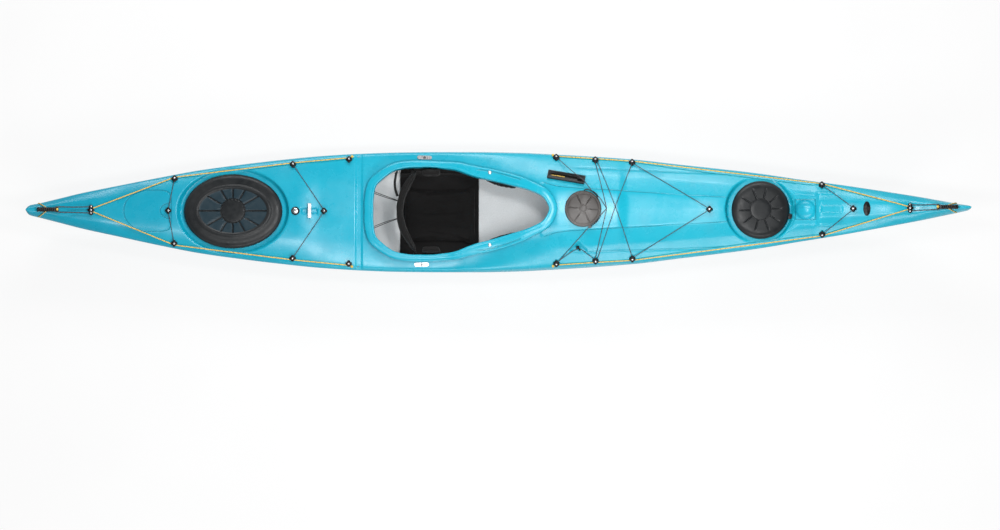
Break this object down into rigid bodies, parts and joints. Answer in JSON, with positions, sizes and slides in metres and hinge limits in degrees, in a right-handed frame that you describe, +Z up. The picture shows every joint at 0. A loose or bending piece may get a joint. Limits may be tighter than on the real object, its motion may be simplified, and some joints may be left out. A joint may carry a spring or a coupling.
{
  "type": "sea kayak",
  "caption": "Touring sea kayak with a keyhole cockpit, padded seat, rubber hatch lids, bulkheads, deck lines and elastics, carrying toggles and a drop-down skeg.",
  "frame": {"origin": "on the floor under the middle of the length and breadth", "axes": "+X to the bow, +Y to port, +Z up"},
  "size_m": [4.72, 0.608, 0.4657],
  "materials": {
    "hull_plastic": "rotomoulded polyethylene, satin, lightly mottled",
    "black_plastic": "moulded nylon, satin",
    "lid_rubber": "moulded rubber, dull",
    "seat_plastic": "moulded plastic, satin",
    "pad_fabric": "black woven cover over foam",
    "bulkhead_foam": "closed-cell foam, dull",
    "steel": "stainless, brushed",
    "yellow_cord": "braided line with a fleck",
    "black_cord": "braided elastic"
  },
  "bodies": {
    "boat": {"hull": "hull_plastic", "deck": "hull_plastic", "cockpit_coaming": "hull_plastic", "rear_hatch_rim": "hull_plastic", "front_hatch_rim": "hull_plastic", "day_pod": "black_plastic", "foot_rail_port": "black_plastic", "foot_rail_starboard": "black_plastic", "skeg_box": "black_plastic", "skeg_cable": "black_plastic", "skeg_slider_housing": "black_plastic", "deck_eye_stern": "black_plastic", "deck_eye_aft_port": "black_plastic", "deck_eye_aft_starboard": "black_plastic", "deck_eye_aft_centre": "black_plastic", "deck_eye_rear_port": "black_plastic", "deck_eye_rear_starboard": "black_plastic", "deck_eye_rear_centre": "black_plastic", "deck_eye_seat_port": "black_plastic", "deck_eye_seat_starboard": "black_plastic", "deck_eye_cockpit_port": "black_plastic", "deck_eye_cockpit_starboard": "black_plastic", "deck_eye_knee_port": "black_plastic", "deck_eye_knee_starboard": "black_plastic", "deck_eye_shin_port": "black_plastic", "deck_eye_shin_starboard": "black_plastic", "deck_eye_foredeck_centre": "black_plastic", "deck_eye_fore_port": "black_plastic", "deck_eye_fore_starboard": "black_plastic", "deck_eye_fore_centre": "black_plastic", "deck_eye_bow": "black_plastic", "rear_bulkhead": "bulkhead_foam", "front_bulkhead": "bulkhead_foam", "seat_pan": "seat_plastic", "seat_pad": "pad_fabric", "hip_pad_port": "pad_fabric", "hip_pad_starboard": "pad_fabric", "thigh_brace_port": "pad_fabric", "thigh_brace_starboard": "pad_fabric", "skeg_pivot_pin": "steel", "security_bar": "steel", "rear_deck_line": "yellow_cord", "front_deck_line": "yellow_cord", "rear_elastic_aft": "black_cord", "rear_elastic_forward": "black_cord", "foredeck_elastic_aft": "black_cord", "foredeck_elastic_cross": "black_cord", "bow_elastic": "black_cord"},
    "skeg": {"skeg_blade": "black_plastic"},
    "skeg_knob": {"skeg_slider_knob": "black_plastic"},
    "rear_lid": {"rear_hatch_lid": "lid_rubber"},
    "front_lid": {"front_hatch_lid": "lid_rubber"},
    "day_lid": {"day_hatch_lid": "lid_rubber"},
    "stern_grip": {"stern_toggle": "black_plastic", "stern_toggle_cord": "yellow_cord"},
    "bow_grip": {"bow_toggle": "black_plastic", "bow_toggle_cord": "yellow_cord"},
    "backrest": {"backband": "pad_fabric"},
    "port_pedal": {"foot_pedal_port": "black_plastic"},
    "starboard_pedal": {"foot_pedal_starboard": "black_plastic"}
  },
  "joints": [
    {"name": "skeg_pivot", "type": "hinge", "parent": "boat", "child": "skeg", "pos_m": [-1.674, 0, 0.118], "axis": [0, -1, 0], "range_deg": [0, 50]},
    {"name": "skeg_slider", "type": "slide", "parent": "boat", "child": "skeg_knob", "axis": [-0.9821, 0.174, -0.0715], "range_m": [0, 0.131]},
    {"name": "rear_lid_lift", "type": "slide", "parent": "boat", "child": "rear_lid", "axis": [0, 0, 1], "range_m": [0, 0.25]},
    {"name": "front_lid_lift", "type": "slide", "parent": "boat", "child": "front_lid", "axis": [0, 0, 1], "range_m": [0, 0.25]},
    {"name": "day_lid_lift", "type": "slide", "parent": "boat", "child": "day_lid", "axis": [0, 0, 1], "range_m": [0, 0.2]},
    {"name": "stern_grip_swing", "type": "hinge", "parent": "boat", "child": "stern_grip", "pos_m": [-2.308, 0, 0.305], "axis": [0, -1, 0], "range_deg": [0, 45]},
    {"name": "bow_grip_swing", "type": "hinge", "parent": "boat", "child": "bow_grip", "pos_m": [2.299, 0, 0.405], "axis": [0, 1, 0], "range_deg": [0, 30]},
    {"name": "backrest_tilt", "type": "hinge", "parent": "boat", "child": "backrest", "pos_m": [-0.4, 0, 0.2], "axis": [0, 1, 0], "range_deg": [-5, 25]},
    {"name": "port_pedal_slide", "type": "slide", "parent": "boat", "child": "port_pedal", "axis": [0.995, -0.0998, 0], "range_m": [-0.17, 0.16]},
    {"name": "starboard_pedal_slide", "type": "slide", "parent": "boat", "child": "starboard_pedal", "axis": [0.995, 0.0998, 0], "range_m": [-0.17, 0.16]}
  ],
  "couplings": [
    {"joint": "skeg_slider", "follows": "skeg_pivot", "m_per_rad": 0.149}
  ]
}
